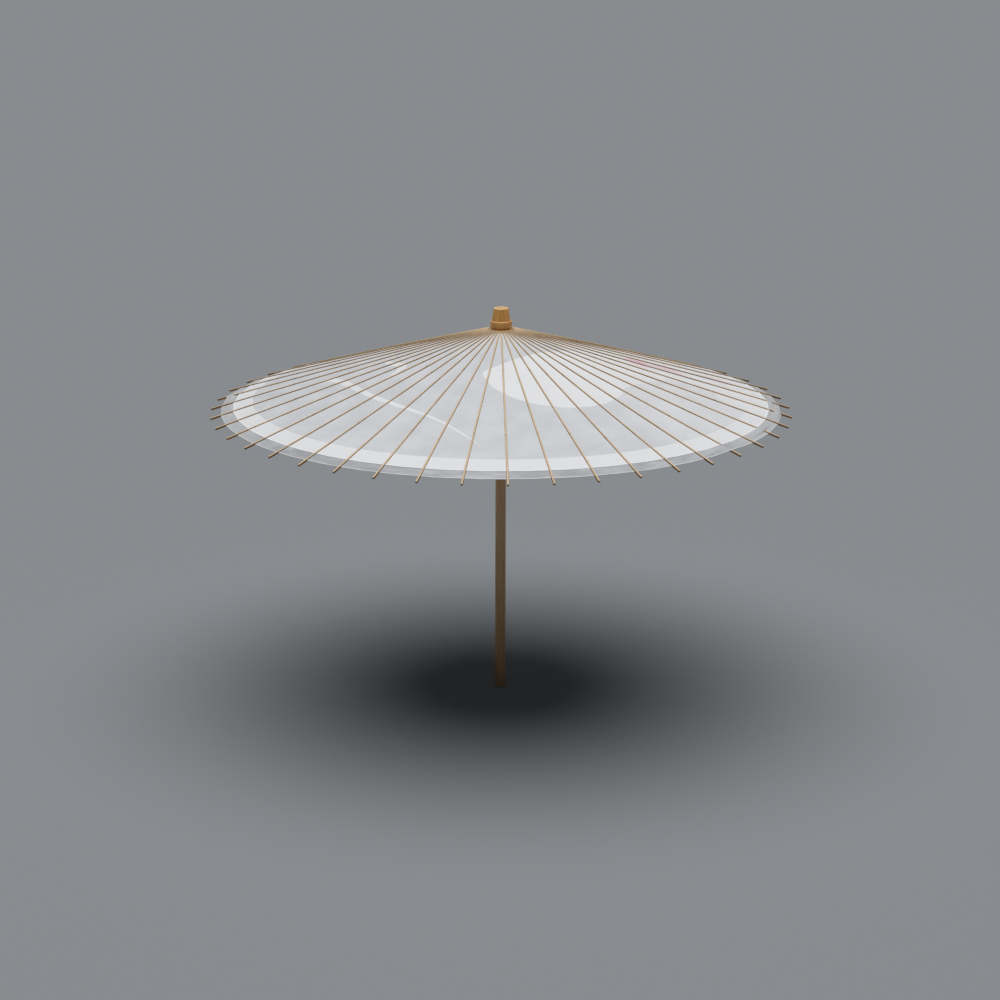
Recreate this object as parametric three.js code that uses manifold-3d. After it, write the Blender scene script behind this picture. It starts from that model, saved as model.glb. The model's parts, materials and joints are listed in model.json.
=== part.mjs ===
// Oil paper umbrella, shown open: a wooden pole with a turned head on top, a sliding runner held up by
// a sprung latch, long ribs hinged to the head, stretchers hinged between the ribs and the runner, and a
// pleating paper canopy. Millimetres, +Z up, origin at the centre of the pole's lower end.
import * as THREE from 'three';
import { mergeVertices } from 'three/addons/utils/BufferGeometryUtils.js';
import Module from 'manifold-3d';

const wasm = await Module();
wasm.setup();

// ---- driving dimensions ----
const RIB_COUNT = 44;
const FIRST_RIB_DEG = -88.72; // direction of rib_01 about the pole, just beside the front (-Y)
const RIBS_PER_STRETCHER = 4; // one modelled stretcher to every four ribs
const PIVOT_RADIUS = 18; // head pivots and runner pivots, from the pole's axis
const HEAD_PIVOT_Z = 530;
const LINK = 200; // head pivot to rib joint, and rib joint to runner pivot
const OPEN_DEG = 74; // ribs and stretchers when open, measured from straight down
const CLEARANCE = 0.3; // gap between pieces that touch or slide

const RIB_LENGTH = 408; // head pivot to tip
const RIB_ARCH = 0.2; // rise of the rib's middle line between its two pivots
const RIB_HALF_DEPTH = { end: 2, joint: 2.2, tip: 1.5 };
const RIB_WIDTH = { neck: 2, joint: 2.9, tip: 3 };

const TANG_WIDTH = 1.2; // thinned ends of ribs and stretchers that run in slots
const SLOT_WIDTH = 1.7; // slots of the head and the runner
const GROOVE_WIDTH = TANG_WIDTH + 2 * CLEARANCE; // under the rib, for the stretcher's thin end
const RIB_TANG_END = 2.7; // past the head pivot
const RIB_BODY_START = 3.2; // full width from here on
const BLUNT = 0.3; // height of a rounded end's flat nose, as a share of its half height
const ARCH_STATIONS = [0.35, 0.7, 1, 1.35, 1.7].map((share) => share * LINK); // bends of the rib's arch
const GROOVE = { start: -10, end: 68, top: 1.25, mouth: -5 }; // along and across the rib, from its joint

const STRETCHER = { eye: 0.95, inner: -2.2, outer: 0.95, rise: 3 };
const STRETCHER_WIDTH = { joint: 2.2, runner: 1.7 };
const STRETCHER_TANG = { joint: 70, runner: 3 }; // lengths of the thin ends

const POLE_RADIUS = 7.5;
const POLE_CHAMFER = 1;
const FOOT_GROOVE = { bottom: 2.6, top: 4.4, depth: 0.5, slope: 0.4 }; // turned round the pole's foot
const TENON_RADIUS = 5.5; // the pole's thinned top, inside the head

const SLOT_FLOOR_RADIUS = 15.2; // the same on the head and the runner
const FLANGE_RADIUS = 19.4;
const FLANGE_BELOW = 1.6; // flange faces, from the pivots
const FLANGE_ABOVE = 1;

const HEAD_TOP_Z = 561;
const HUB = { radius: 12, below: 5.5 }; // the head's lower end, from the pivots
const COLLAR = { radius: 15.2, neck: 13.2, above: 4.6, height: 8.4, chamfer: 0.8 }; // above the pivots
const FINIAL = { base: 13.2, top: 10.6, rim: 9.9, edge: 0.8 };
const DISH = { radius: 6.6, depth: 0.6 }; // in the finial's top, round the tenon's end

const RUNNER_BORE = POLE_RADIUS + CLEARANCE;
const SPOOL = { below: 34, waist: 10.6, foot: 13.2, footHeight: 5, chamfer: 1, flare: 4, neck: 9 };
const CROWN = { radius: 14.2, above: 5 }; // the runner above its flange

const CANOPY_INNER = 20.5;
const CANOPY_RIM = 396;
const CANOPY_THICKNESS = 0.4;

const LATCH_WIDTH = 3;
const LATCH_BELOW = 68.2; // its bending place, below the runner pivots
const LATCH_GAP = 0.5; // under the runner
const LATCH_FOOT = { inner: 4, outer: 6.9, below: 2, above: 4 }; // radii, and reach from the bending place
const LATCH_CATCH = { inner: 7.4, outer: 10.8, height: 1.7 };
const LATCH_BACK = 4.4; // radius where the tongue leaves its foot
const LATCH_SLOT = { floor: 2.5, below: 2.6, above: 1.3 };
const TURN_SEGMENTS = RIB_COUNT; // facets of turned pieces
const OVERCUT = 2; // of a slot's cutting block, beyond the face that it cuts

const rad = THREE.MathUtils.degToRad;
const openAngle = rad(OPEN_DEG);
const runnerPivotZ = HEAD_PIVOT_Z - 2 * LINK * Math.cos(openAngle);
const headBottomZ = HEAD_PIVOT_Z - HUB.below;
const pitch = (2 * Math.PI) / RIB_COUNT;
const firstRib = rad(FIRST_RIB_DEG);

// ---- materials ----
const poleWood = new THREE.MeshStandardMaterial({ color: 0x8f6238, roughness: 0.5, metalness: 0 });
const turnedWood = new THREE.MeshStandardMaterial({ color: 0xa9743a, roughness: 0.42, metalness: 0 });
const bamboo = new THREE.MeshStandardMaterial({ color: 0xa58a63, roughness: 0.55, metalness: 0 });
const paper = new THREE.MeshStandardMaterial({ color: 0xd5d6da, roughness: 0.6, metalness: 0 });

// ---- geometry helpers ----
function toSolid(geometry) {
  const bare = geometry.clone();
  bare.deleteAttribute('normal');
  bare.deleteAttribute('uv');
  const merged = mergeVertices(bare);
  const vertProperties = new Float32Array(merged.attributes.position.array);
  const triVerts = new Uint32Array(merged.index.array);
  return new wasm.Manifold(new wasm.Mesh({ numProp: 3, vertProperties, triVerts }));
}

function toGeometry(solid) {
  const mesh = solid.getMesh();
  const geometry = new THREE.BufferGeometry();
  geometry.setAttribute('position', new THREE.BufferAttribute(mesh.vertProperties, 3));
  geometry.setIndex(new THREE.BufferAttribute(mesh.triVerts, 1));
  geometry.computeVertexNormals();
  return geometry;
}

// A turned piece about Z. The profile is a list of [radius, z], counter-clockwise with the axis on its left.
function turn(profile, closed) {
  const points = profile.map(([r, z]) => new THREE.Vector2(r, z));
  if (closed) points.push(points[0].clone());
  const geometry = new THREE.LatheGeometry(points, TURN_SEGMENTS);
  geometry.rotateX(Math.PI / 2);
  geometry.rotateZ(firstRib);
  return geometry;
}

// A strip along X through rectangular sections { x, half, low, high }: half its width in Y, and its Z range.
function strip(sections) {
  const position = [];
  const index = [];
  for (const { x, half, low, high } of sections) {
    position.push(x, -half, low);
    position.push(x, half, low);
    position.push(x, half, high);
    position.push(x, -half, high);
  }
  const corners = 4;
  for (let i = 0; i < sections.length - 1; i += 1) {
    for (let c = 0; c < corners; c += 1) {
      const a = i * corners + c;
      const b = i * corners + ((c + 1) % corners);
      index.push(a, b, a + corners);
      index.push(b, b + corners, a + corners);
    }
  }
  const last = (sections.length - 1) * corners;
  index.push(0, 2, 1, 0, 3, 2);
  index.push(last, last + 1, last + 2, last, last + 2, last + 3);
  const geometry = new THREE.BufferGeometry();
  geometry.setAttribute('position', new THREE.Float32BufferAttribute(position, 3));
  geometry.setIndex(index);
  return geometry;
}

// A plate from an outline of [x, z] points, centred on Y = 0.
function plate(outline, width) {
  const shape = new THREE.Shape(outline.map(([x, z]) => new THREE.Vector2(x, z)));
  const geometry = new THREE.ExtrudeGeometry(shape, { depth: width, bevelEnabled: false });
  geometry.rotateX(Math.PI / 2);
  geometry.translate(0, width / 2, 0);
  return geometry;
}

// Piecewise straight interpolation through [x, value] points.
function along(points, x) {
  const next = Math.max(1, points.findIndex(([px]) => px >= x));
  const [x0, v0] = points[next - 1];
  const [x1, v1] = points[next];
  return v0 + ((v1 - v0) * (x - x0)) / (x1 - x0);
}

const group = new THREE.Group();
group.name = 'oil_paper_umbrella';

// ---- ribs, in their own frame: X along the rib from the head pivot, Z outward, Y sideways ----
const ribMiddle = (x) => ((4 * RIB_ARCH) / LINK ** 2) * x * (LINK - x);
const ribHalfDepth = (x) =>
  along([[0, RIB_HALF_DEPTH.end], [LINK, RIB_HALF_DEPTH.joint], [RIB_LENGTH, RIB_HALF_DEPTH.tip]], x);
const ribHalfWidth = (x) =>
  along([[0, RIB_WIDTH.neck], [LINK, RIB_WIDTH.joint], [RIB_LENGTH, RIB_WIDTH.tip]], x) / 2;
const ribTop = (x) => ribMiddle(x) + ribHalfDepth(x);

function ribGeometry() {
  const end = RIB_HALF_DEPTH.end;
  const roundEnd = [180, 140, 90].map((deg) => {
    const high = Math.max(BLUNT * end, end * Math.sin(rad(deg)));
    return { x: end * Math.cos(rad(deg)), half: TANG_WIDTH / 2, low: -high, high };
  });
  const tangEnd = { x: RIB_TANG_END, half: TANG_WIDTH / 2, low: -end, high: end };
  const body = [RIB_BODY_START, ...ARCH_STATIONS, RIB_LENGTH].map((x) => ({
    x,
    half: ribHalfWidth(x),
    low: ribMiddle(x) - ribHalfDepth(x),
    high: ribTop(x),
  }));
  const blank = toSolid(strip([...roundEnd, tangEnd, ...body]));
  const groove = plate(
    [
      [LINK + GROOVE.start, GROOVE.mouth],
      [LINK + GROOVE.end, GROOVE.mouth],
      [LINK + GROOVE.end, ribMiddle(LINK + GROOVE.end) - ribHalfDepth(LINK + GROOVE.end)],
      [LINK, GROOVE.top],
      [LINK + GROOVE.start, GROOVE.top],
    ],
    GROOVE_WIDTH,
  );
  return toGeometry(blank.subtract(toSolid(groove)));
}

// ---- stretchers, in their own frame: X from the rib joint to the runner pivot, Z to the rib's side ----
function stretcherGeometry() {
  const { eye, inner, outer, rise } = STRETCHER;
  const tang = TANG_WIDTH / 2;
  const wide = ([x, half]) => ({ x, half, low: inner, high: outer });
  const ends = [
    { x: -eye, half: tang, low: -BLUNT * eye, high: BLUNT * eye },
    { x: -eye * Math.SQRT1_2, half: tang, low: -eye * Math.SQRT1_2, high: eye * Math.SQRT1_2 },
    { x: 0, half: tang, low: -eye, high: outer },
  ];
  const farEnds = ends.map((s) => ({ ...s, x: LINK - s.x })).reverse();
  const middle = [
    [rise, tang],
    [STRETCHER_TANG.joint, tang],
    [STRETCHER_TANG.joint + rise, STRETCHER_WIDTH.joint / 2],
    [LINK - STRETCHER_TANG.runner - rise, STRETCHER_WIDTH.runner / 2],
    [LINK - STRETCHER_TANG.runner, tang],
  ].map(wide);
  return strip([...ends, ...middle, ...farEnds]);
}

const ribShape = ribGeometry();
const stretcherShape = stretcherGeometry();
const lean = Math.PI / 2 - openAngle; // ribs below level
for (let i = 0; i < RIB_COUNT; i += 1) {
  const arm = new THREE.Group();
  arm.rotation.z = firstRib + i * pitch;
  group.add(arm);

  const rib = new THREE.Mesh(ribShape, bamboo);
  rib.name = `rib_${String(i + 1).padStart(2, '0')}`;
  rib.position.set(PIVOT_RADIUS, 0, HEAD_PIVOT_Z);
  rib.rotation.y = lean;
  arm.add(rib);

  if (i % RIBS_PER_STRETCHER === 0) {
    const stretcher = new THREE.Mesh(stretcherShape, bamboo);
    stretcher.name = `stretcher_${String(i / RIBS_PER_STRETCHER + 1).padStart(2, '0')}`;
    const reach = LINK * Math.sin(openAngle);
    stretcher.position.set(PIVOT_RADIUS + reach, 0, (HEAD_PIVOT_Z + runnerPivotZ) / 2);
    stretcher.rotation.y = Math.PI - lean;
    arm.add(stretcher);
  }
}

// ---- slots for the tangs, cut across a flange at a given height ----
function slots(pivotZ) {
  const depth = FLANGE_RADIUS + OVERCUT - SLOT_FLOOR_RADIUS;
  const height = FLANGE_BELOW + FLANGE_ABOVE + 2 * CLEARANCE;
  const slot = toSolid(new THREE.BoxGeometry(depth, SLOT_WIDTH, height));
  const middleZ = pivotZ + (FLANGE_ABOVE - FLANGE_BELOW) / 2;
  const placed = [];
  for (let i = 0; i < RIB_COUNT; i += 1) {
    const outward = slot.translate([SLOT_FLOOR_RADIUS + depth / 2, 0, middleZ]);
    placed.push(outward.rotate([0, 0, FIRST_RIB_DEG + (i * 360) / RIB_COUNT]));
  }
  return wasm.Manifold.union(placed);
}

// ---- head: slotted flange, collar and tapered finial in one turned piece ----
const collarZ = HEAD_PIVOT_Z + COLLAR.above;
const collarTopZ = collarZ + COLLAR.height;
const headBore = TENON_RADIUS + CLEARANCE;
const headProfile = [
  [headBore, headBottomZ],
  [HUB.radius, headBottomZ],
  [SLOT_FLOOR_RADIUS, HEAD_PIVOT_Z - FLANGE_BELOW],
  [FLANGE_RADIUS, HEAD_PIVOT_Z - FLANGE_BELOW],
  [FLANGE_RADIUS, HEAD_PIVOT_Z + FLANGE_ABOVE],
  [COLLAR.neck, HEAD_PIVOT_Z + FLANGE_ABOVE],
  [COLLAR.neck, collarZ],
  [COLLAR.radius, collarZ],
  [COLLAR.radius, collarTopZ - COLLAR.chamfer],
  [COLLAR.radius - COLLAR.chamfer, collarTopZ],
  [FINIAL.base, collarTopZ],
  [FINIAL.top, HEAD_TOP_Z - FINIAL.edge],
  [FINIAL.rim, HEAD_TOP_Z],
  [DISH.radius, HEAD_TOP_Z],
  [headBore, HEAD_TOP_Z - DISH.depth],
];
const headSolid = toSolid(turn(headProfile, true)).subtract(slots(HEAD_PIVOT_Z));
const head = new THREE.Mesh(toGeometry(headSolid), turnedWood);
head.name = 'head';
group.add(head);

// ---- runner: a turned spool with the stretchers' slotted flange near its top, heights from its pivots ----
const runnerProfile = [
  [RUNNER_BORE, -SPOOL.below],
  [SPOOL.foot - SPOOL.chamfer, -SPOOL.below],
  [SPOOL.foot, -SPOOL.below + SPOOL.chamfer],
  [SPOOL.foot, -SPOOL.below + SPOOL.footHeight],
  [SPOOL.waist, -SPOOL.below + SPOOL.footHeight + SPOOL.flare],
  [SPOOL.waist, -SPOOL.neck],
  [SLOT_FLOOR_RADIUS, -FLANGE_BELOW],
  [FLANGE_RADIUS, -FLANGE_BELOW],
  [FLANGE_RADIUS, FLANGE_ABOVE],
  [SLOT_FLOOR_RADIUS, FLANGE_ABOVE],
  [CROWN.radius, CROWN.above],
  [RUNNER_BORE, CROWN.above],
].map(([r, z]) => [r, z + runnerPivotZ]);
const runnerSolid = toSolid(turn(runnerProfile, true)).subtract(slots(runnerPivotZ));
const runner = new THREE.Mesh(toGeometry(runnerSolid), turnedWood);
runner.name = 'runner';
group.add(runner);

// ---- latch: a sprung wooden tongue in a slot of the pole, under the open runner, facing -Y ----
const latchZ = runnerPivotZ - LATCH_BELOW;
const latchTopZ = runnerPivotZ - SPOOL.below - LATCH_GAP;
const latchOutline = [
  [LATCH_FOOT.inner, latchZ - LATCH_FOOT.below],
  [LATCH_FOOT.outer, latchZ - LATCH_FOOT.below],
  [LATCH_FOOT.outer, latchZ + LATCH_FOOT.above],
  [LATCH_CATCH.outer, latchTopZ - LATCH_CATCH.height],
  [LATCH_CATCH.outer, latchTopZ],
  [LATCH_CATCH.inner, latchTopZ],
  [LATCH_BACK, latchZ + LATCH_FOOT.above],
];
const latch = new THREE.Mesh(plate(latchOutline, LATCH_WIDTH), bamboo);
latch.name = 'latch';
latch.rotation.z = -Math.PI / 2;
group.add(latch);

// ---- pole: one round stick, thinned to a tenon inside the head, with the latch's slot ----
const shoulderZ = headBottomZ - CLEARANCE;
const poleTopZ = HEAD_TOP_Z - DISH.depth - CLEARANCE;
const poleProfile = [
  [0, 0],
  [POLE_RADIUS - POLE_CHAMFER, 0],
  [POLE_RADIUS, POLE_CHAMFER],
  [POLE_RADIUS, FOOT_GROOVE.bottom],
  [POLE_RADIUS - FOOT_GROOVE.depth, FOOT_GROOVE.bottom + FOOT_GROOVE.slope],
  [POLE_RADIUS - FOOT_GROOVE.depth, FOOT_GROOVE.top - FOOT_GROOVE.slope],
  [POLE_RADIUS, FOOT_GROOVE.top],
  [POLE_RADIUS, shoulderZ],
  [TENON_RADIUS, shoulderZ],
  [TENON_RADIUS, poleTopZ],
  [0, poleTopZ],
];
const slotBottom = latchZ - LATCH_SLOT.below;
const slotTop = latchTopZ + LATCH_SLOT.above;
const slotDepth = POLE_RADIUS + OVERCUT - LATCH_SLOT.floor;
const latchSlot = new THREE.BoxGeometry(LATCH_WIDTH + 2 * CLEARANCE, slotDepth, slotTop - slotBottom);
latchSlot.translate(0, -(LATCH_SLOT.floor + slotDepth / 2), (slotTop + slotBottom) / 2);
const poleSolid = toSolid(turn(poleProfile, false)).subtract(toSolid(latchSlot));
const pole = new THREE.Mesh(toGeometry(poleSolid), poleWood);
pole.name = 'pole';
group.add(pole);

// ---- canopy: a thin many-sided cone over the ribs, with its corners on them ----
function overRib(x, lift) {
  const high = ribTop(x) + lift;
  return [
    PIVOT_RADIUS + x * Math.sin(openAngle) + high * Math.cos(openAngle),
    HEAD_PIVOT_Z - x * Math.cos(openAngle) + high * Math.sin(openAngle),
  ];
}
const canopyEnd = (CANOPY_RIM - PIVOT_RADIUS) / Math.sin(openAngle);
const canopyStart = (CANOPY_INNER - PIVOT_RADIUS) / Math.sin(openAngle);
const canopyStations = [canopyStart, ...ARCH_STATIONS, canopyEnd];
const canopyProfile = [
  ...canopyStations.map((x) => overRib(x, CLEARANCE)),
  ...canopyStations.map((x) => overRib(x, CLEARANCE + CANOPY_THICKNESS)).reverse(),
];
const canopy = new THREE.Mesh(turn(canopyProfile, true), paper);
canopy.name = 'canopy';
group.add(canopy);

export default group;
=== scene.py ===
"""Looks of an open oil paper umbrella: bamboo ribs and stretchers, paper gores with a wrinkled hem,
a turned head and runner, a round pole with its latch, and the threads and wires that hinge them."""

import json
import math

import bmesh
import bpy
import numpy as np
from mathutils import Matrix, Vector, noise


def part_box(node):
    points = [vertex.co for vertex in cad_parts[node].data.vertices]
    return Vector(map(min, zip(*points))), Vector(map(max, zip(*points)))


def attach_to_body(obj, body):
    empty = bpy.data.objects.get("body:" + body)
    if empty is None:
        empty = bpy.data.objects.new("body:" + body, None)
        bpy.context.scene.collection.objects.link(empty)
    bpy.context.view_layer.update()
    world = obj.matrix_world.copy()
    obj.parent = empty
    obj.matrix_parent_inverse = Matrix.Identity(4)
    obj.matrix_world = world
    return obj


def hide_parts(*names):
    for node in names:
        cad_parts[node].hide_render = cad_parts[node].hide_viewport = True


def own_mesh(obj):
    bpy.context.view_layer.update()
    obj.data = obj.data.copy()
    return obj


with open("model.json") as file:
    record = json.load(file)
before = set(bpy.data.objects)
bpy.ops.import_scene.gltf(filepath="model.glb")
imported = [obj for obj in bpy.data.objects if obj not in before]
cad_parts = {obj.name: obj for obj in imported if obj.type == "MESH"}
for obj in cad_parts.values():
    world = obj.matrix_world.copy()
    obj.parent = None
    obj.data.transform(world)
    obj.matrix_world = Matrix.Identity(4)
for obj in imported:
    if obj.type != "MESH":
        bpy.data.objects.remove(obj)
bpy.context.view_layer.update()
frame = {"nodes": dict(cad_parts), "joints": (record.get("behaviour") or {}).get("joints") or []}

# ---- places taken from the frame ----
MM = 0.001
UP = np.array([0.0, 0.0, 1.0])
joints = {joint["name"]: joint for joint in frame["joints"]}
rib_nodes = sorted(name for name in frame["nodes"] if name.startswith("rib_"))
stretcher_nodes = sorted(name for name in frame["nodes"] if name.startswith("stretcher_"))
RIB_COUNT = len(rib_nodes)
RIBS_PER_NODE = RIB_COUNT // len(stretcher_nodes)  # ribs to each stretcher that CAD models
PITCH = 2 * math.pi / RIB_COUNT

head_pivot = Vector(joints["canopy_fold"]["pos_m"])
rib_joint = Vector(joints["stretcher_01_hinge"]["pos_m"])
runner_pivot = Vector(joints["runner_hinge"]["pos_m"])
PIVOT_RADIUS = head_pivot.xy.length
HEAD_Z = head_pivot.z
RUNNER_Z = runner_pivot.z
LINK = (rib_joint - head_pivot).length
OPEN = math.atan2(rib_joint.xy.length - PIVOT_RADIUS, HEAD_Z - rib_joint.z)  # from straight down
FIRST_RIB = math.atan2(rib_joint.y, rib_joint.x)


class Arm:
    """The directions and pivots of one rib and its stretcher, open."""

    def __init__(self, index):
        angle = FIRST_RIB + index * PITCH
        self.out = np.array([math.cos(angle), math.sin(angle), 0.0])
        self.side = np.array([-math.sin(angle), math.cos(angle), 0.0])
        self.along = self.out * math.sin(OPEN) - UP * math.cos(OPEN)
        self.top = self.out * math.cos(OPEN) + UP * math.sin(OPEN)
        self.head = self.out * PIVOT_RADIUS + UP * HEAD_Z
        self.joint = self.head + self.along * LINK
        self.runner = self.out * PIVOT_RADIUS + UP * RUNNER_Z

    def on_rib(self, points):
        """Points (along, sideways, outward) from the head pivot, in the row frame."""
        return self.head + np.asarray(points) @ np.array([self.along, self.side, self.top])

    def on_stretcher(self, points):
        """Points (to the runner, sideways, to the rib's side) from the rib's joint, in the row frame."""
        inward = -self.out * math.sin(OPEN) - UP * math.cos(OPEN)
        ribward = self.out * math.cos(OPEN) - UP * math.sin(OPEN)
        return self.joint + np.asarray(points) @ np.array([inward, self.side, ribward])


arms = [Arm(index) for index in range(RIB_COUNT)]


def reach(node, origin, direction):
    """Greatest distance of a CAD node's points from origin, along direction."""
    points = np.array([vertex.co for vertex in frame["nodes"][node].data.vertices])
    return float(((points - origin) @ direction).max())


RIB_LENGTH = reach("rib_01", arms[0].head, arms[0].along)
CANOPY_RIM = reach("canopy", np.zeros(3), arms[0].out)

# ---- sizes of the pieces ----
TANG_WIDTH = 1.2 * MM
SLOT_WIDTH = 1.7 * MM
RIB_ARCH = 0.2 * MM
RIB_TANG_END = 2.7 * MM
RIB_STATIONS = [0, LINK, RIB_LENGTH]
RIB_HALF_DEPTHS = [2 * MM, 2.2 * MM, 1.5 * MM]
RIB_WIDTHS = [2 * MM, 2.9 * MM, 3 * MM]
TAPER_STATIONS = [0, 0.4 * LINK, 1.5 * LINK, RIB_LENGTH]
RIB_TAPERS = [0.95, 0.68, 0.68, 0.8]  # width under the skin, as a share of the full width
CROWN = 0.5 * MM  # rise of the rib's rounded skin
CORNER = 0.25 * MM
GROOVE_HALF = 0.75 * MM
GROOVE_START = LINK - 10 * MM
GROOVE_END = LINK + 68 * MM
GROOVE_TOP = 1.25 * MM
KNUCKLES = [0.31, 0.72]  # bamboo joints, as shares of the rib's length
KNUCKLE_SWELL = 0.1 * MM
KNUCKLE_REACH = 1.7 * MM
KNUCKLE_SPREAD = 14 * MM

PAPER_BELOW_TOP = 1.5 * MM  # paper under the rib's skin
PAPER_TUCK = 0.25 * MM  # of the paper inside the rib's side
PAPER_START = 3.7 * MM
PAPER_END = (CANOPY_RIM - 18 * MM - PIVOT_RADIUS) / math.sin(OPEN)
PAPER_SAG = 0.018  # of a gore's half width
WRINKLE = 0.22 * MM
HEM_END = (CANOPY_RIM - 0.8 * MM - PIVOT_RADIUS) / math.sin(OPEN)
HEM_OVERLAP = 5 * MM
HEM_LAP = 0.3 * MM  # hem under the paper, and over the ribs that it covers
HEM_CLIMB = 2 * MM  # length over which it comes out from under the paper there
HEM_WRINKLE = 0.5 * MM
HEM_ROLL = 0.45 * MM
HEM_OVER_RIBS = {  # rib number: the shares of the free hem between which it lies over that rib
    7: (0, 1.2), 9: (0, 0.6), 11: (0.4, 0.88), 12: (0, 0.42), 33: (0.45, 1.2),
}
GORE_COLUMNS = 8
GORE_ROWS = 54
HEM_ROWS = 24

STRETCHER_EYE = 0.95 * MM
STRETCHER_INNER = -2.2 * MM
STRETCHER_OUTER = 0.95 * MM
STRETCHER_RISE = 3 * MM
STRETCHER_JOINT_TANG = 70 * MM
STRETCHER_RUNNER_TANG = 3 * MM
STRETCHER_JOINT_WIDTH = 2.2 * MM
STRETCHER_RUNNER_WIDTH = 1.7 * MM

THREAD_RADIUS = 0.3 * MM
KNOT_RADIUS = 0.85 * MM
THREAD_SAG = 1.2 * MM
THREAD_TWIST = 1.4 * MM
KNOT_BESIDE = 0.6 * MM  # from the rib's side to the knot's middle
KNOT_REACH = 0.45 * MM
WIRE_RADIUS = 0.45 * MM

SLOT_FLOOR_RADIUS = 15.2 * MM
FLANGE_RADIUS = 19.4 * MM
FLANGE_BELOW = 1.6 * MM
FLANGE_ABOVE = 1 * MM
HUB_RADIUS = 12 * MM
NECK_RADIUS = 13.2 * MM  # under the collar
COLLAR_RADIUS = 15.2 * MM
COLLAR_START = 4.6 * MM  # above the head's pivots
COLLAR_END = 13 * MM
COLLAR_EDGE = 0.8 * MM
FINIAL_BASE = 13.2 * MM
FINIAL_TOP = 10.6 * MM
SEAM = 0.5 * MM  # groove where the finial meets the collar
FINIAL_STEP = 0.1 * MM  # from that groove in to the finial's side
DISH_RADIUS = 6.6 * MM
DISH_DEPTH = 0.6 * MM
HEAD_EASE = 0.5 * MM  # rounding of the turned edges
RUNNER_EASE = 0.6 * MM
SPOOL_FOOT = 13.2 * MM
SPOOL_EDGE = 1 * MM
SPOOL_FOOT_HEIGHTS = [1 * MM, 5 * MM, 6.2 * MM, 8 * MM, 10 * MM]  # up the foot to the waist
SPOOL_WAIST = 10.6 * MM
SPOOL_WAIST_FLARE = [0.3 * MM, 0.6 * MM]  # wider than the waist, below and above it
SPOOL_NECK_HEIGHTS = [-10 * MM, -8 * MM]  # from the waist to the flange, below the pivots
LATCH_SLOT_FLOOR = 2.5 * MM
LATCH_SLOT_SIDE = 0.3 * MM  # room round the latch in its slot
LATCH_SLOT_BELOW = 0.6 * MM
LATCH_SLOT_ABOVE = 1.3 * MM
LATCH_FOOT = (4 * MM, 6.9 * MM)  # inner and outer distance from the pole's axis
LATCH_FOOT_HEIGHT = 6 * MM
LATCH_BEND = 4.4 * MM
LATCH_TIP = (7.4 * MM, 10.8 * MM)
LATCH_TIP_HEIGHT = 1.7 * MM
LATCH_EASE = 0.25 * MM
LATCH_SKIN = 6.5 * MM  # the cane's skin lies past this
POLE_RADIUS = 7.5 * MM
RUNNER_BORE = 7.8 * MM
POLE_EDGE = 1 * MM
FOOT_GROOVE = (2.6 * MM, 4.4 * MM)  # turned round the pole's foot
FOOT_GROOVE_DEPTH = 0.5 * MM
FOOT_GROOVE_SLOPE = 0.4 * MM
POLE_EASE = 0.5 * MM
TENON_RADIUS = 5.5 * MM
TENON_GAP = 0.15 * MM
TENON_EDGE = 0.6 * MM
TENON_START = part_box("head")[0].z - 0.3 * MM
TURNED_SEGMENTS = 4 * RIB_COUNT

FLOOR_HALF = 60.0  # metres
LIGHT_ANGLE_DEG = 71
LIGHT_ENERGY = 3.0
AIR_STRENGTH = 0.015
CAMERA_PLACE = (-0.0009, -3.309, 1.2158)
CAMERA_DOWN_DEG = 15.77
CAMERA_ROLL_DEG = 0.15
CAMERA_LENS = 86.44  # mm, on a sensor 36 mm wide

rng = np.random.default_rng(44)


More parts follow.
